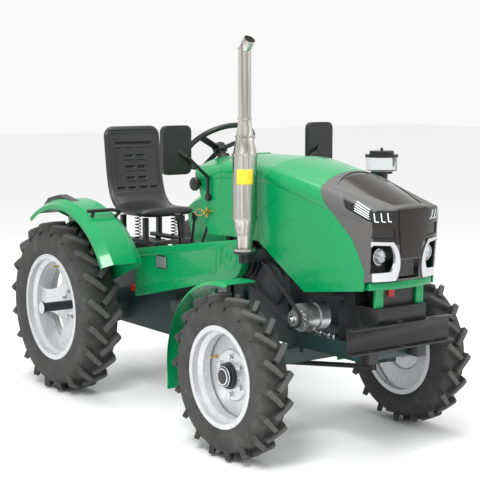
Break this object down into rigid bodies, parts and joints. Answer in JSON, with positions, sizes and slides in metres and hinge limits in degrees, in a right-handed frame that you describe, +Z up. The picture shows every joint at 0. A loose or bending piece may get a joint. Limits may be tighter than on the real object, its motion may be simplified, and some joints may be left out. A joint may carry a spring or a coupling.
{
  "type": "farm tractor",
  "caption": "Small open farm tractor with lugged tyres, tilting hood, tall side exhaust, belt guard, single seat and rear three-point linkage.",
  "frame": {"origin": "on the ground, halfway along the length, on the centre plane", "axes": "+Z up; the tractor faces -Y, so +X is its left side"},
  "size_m": [1.248, 2.5899, 1.7831],
  "materials": {
    "green_paint": "gloss",
    "black_paint": "satin",
    "dark_green_paint": "satin",
    "charcoal_plastic": "satin",
    "black_plastic": "satin",
    "silver_wheel": "satin",
    "tyre_rubber": "matt",
    "stainless": "satin",
    "clear_glass": "gloss",
    "lamp_lens": "gloss",
    "bright_trim": "gloss",
    "engine_iron": "matt",
    "belt_rubber": "matt",
    "cast_aluminium": "satin",
    "red_lens": "gloss",
    "seat_vinyl": "satin"
  },
  "bodies": {
    "chassis": {"chassis_rails": "dark_green_paint", "front_channel": "black_paint", "front_bracket": "black_paint", "lip_bar": "green_paint", "front_axle": "dark_green_paint", "engine_block": "engine_iron", "drive_pulleys": "black_paint", "drive_belts": "belt_rubber", "alternator": "cast_aluminium", "muffler_stack": "stainless", "air_intake": "black_plastic", "precleaner_bowl": "clear_glass", "precleaner_cap": "black_plastic", "radiator": "black_paint", "battery": "black_plastic", "dash_cowl": "green_paint", "steering_column": "black_paint", "mirrors": "black_plastic", "belt_guard": "green_paint", "foot_platforms": "black_paint", "side_lamp": "red_lens", "transmission": "dark_green_paint", "drawbar": "black_paint", "rear_fenders": "green_paint", "fender_handles": "black_plastic", "fender_pads": "black_plastic", "seat": "seat_vinyl", "seat_frame": "black_paint", "control_levers": "black_paint"},
    "hood": {"hood_shell": "green_paint", "nose_cowl": "charcoal_plastic", "headlamps": "lamp_lens", "lamp_frames": "bright_trim", "grille": "black_plastic", "round_lamps": "lamp_lens"},
    "steering_wheel": {"steering_wheel": "black_plastic"},
    "pitman_arm": {"pitman_arm": "black_paint"},
    "drag_link": {"drag_link": "black_paint"},
    "tie_rod": {"tie_rod": "black_paint"},
    "knuckle_left": {"knuckle_left": "dark_green_paint", "front_fender_left": "green_paint"},
    "knuckle_right": {"knuckle_right": "dark_green_paint", "front_fender_right": "green_paint"},
    "lift_arms": {"lift_arms": "black_paint"},
    "lift_rods": {"lift_rods": "black_paint"},
    "lower_links": {"lower_links": "black_paint"},
    "front_wheel_left": {"front_rim_left": "silver_wheel", "front_tyre_left": "tyre_rubber"},
    "front_wheel_right": {"front_rim_right": "silver_wheel", "front_tyre_right": "tyre_rubber"},
    "rear_wheel_left": {"rear_rim_left": "silver_wheel", "rear_tyre_left": "tyre_rubber"},
    "rear_wheel_right": {"rear_rim_right": "silver_wheel", "rear_tyre_right": "tyre_rubber"}
  },
  "joints": [
    {"name": "steer_left", "type": "hinge", "parent": "chassis", "child": "knuckle_left", "pos_m": [0.398, -0.725, 0.355], "axis": [0, 0, 1], "range_deg": [-35, 35]},
    {"name": "steer_right", "type": "hinge", "parent": "chassis", "child": "knuckle_right", "pos_m": [-0.398, -0.725, 0.355], "axis": [0, 0, 1], "range_deg": [-35, 35]},
    {"name": "tie_rod_pin", "type": "hinge", "parent": "knuckle_left", "child": "tie_rod", "pos_m": [0.398, -0.595, 0.336], "axis": [0, 0, 1], "range_deg": [-35, 35]},
    {"name": "pitman_turn", "type": "hinge", "parent": "chassis", "child": "pitman_arm", "pos_m": [0, -0.245, 0.31], "axis": [0, 0, 1], "range_deg": [-35, 35]},
    {"name": "drag_link_pin", "type": "hinge", "parent": "pitman_arm", "child": "drag_link", "pos_m": [-0.1, -0.245, 0.284], "axis": [0, 0, 1], "range_deg": [-35, 35]},
    {"name": "steering_wheel_turn", "type": "hinge", "parent": "chassis", "child": "steering_wheel", "pos_m": [0, 0.081, 1.271], "axis": [0, 0.6157, 0.788], "range_deg": [-420, 420]},
    {"name": "hood_hinge", "type": "hinge", "parent": "chassis", "child": "hood", "pos_m": [0, -0.274, 1.256], "axis": [-1, 0, 0], "range_deg": [0, 60]},
    {"name": "lift_arms_turn", "type": "hinge", "parent": "chassis", "child": "lift_arms", "pos_m": [0, 0.885, 0.69], "axis": [1, 0, 0], "range_deg": [-22, 35]},
    {"name": "lift_rods_pin", "type": "hinge", "parent": "lift_arms", "child": "lift_rods", "pos_m": [0, 1.115, 0.69], "axis": [1, 0, 0], "range_deg": [-35, 22]},
    {"name": "lower_links_turn", "type": "hinge", "parent": "chassis", "child": "lower_links", "pos_m": [0, 0.815, 0.34], "axis": [1, 0, 0], "range_deg": [-22, 35]},
    {"name": "front_wheel_left_spin", "type": "hinge", "parent": "knuckle_left", "child": "front_wheel_left", "pos_m": [0.508, -0.725, 0.355], "axis": [1, 0, 0], "continuous": true},
    {"name": "rear_wheel_left_spin", "type": "hinge", "parent": "chassis", "child": "rear_wheel_left", "pos_m": [0.49, 0.775, 0.437], "axis": [1, 0, 0], "continuous": true},
    {"name": "front_wheel_right_spin", "type": "hinge", "parent": "knuckle_right", "child": "front_wheel_right", "pos_m": [-0.508, -0.725, 0.355], "axis": [1, 0, 0], "continuous": true},
    {"name": "rear_wheel_right_spin", "type": "hinge", "parent": "chassis", "child": "rear_wheel_right", "pos_m": [-0.49, 0.775, 0.437], "axis": [1, 0, 0], "continuous": true}
  ],
  "couplings": [
    {"joint": "steer_right", "follows": "steer_left", "ratio": 1},
    {"joint": "tie_rod_pin", "follows": "steer_left", "ratio": -1},
    {"joint": "pitman_turn", "follows": "steer_left", "ratio": 1},
    {"joint": "drag_link_pin", "follows": "steer_left", "ratio": -1},
    {"joint": "steering_wheel_turn", "follows": "steer_left", "ratio": 12},
    {"joint": "lift_rods_pin", "follows": "lift_arms_turn", "ratio": -1},
    {"joint": "lower_links_turn", "follows": "lift_arms_turn", "ratio": 1}
  ]
}
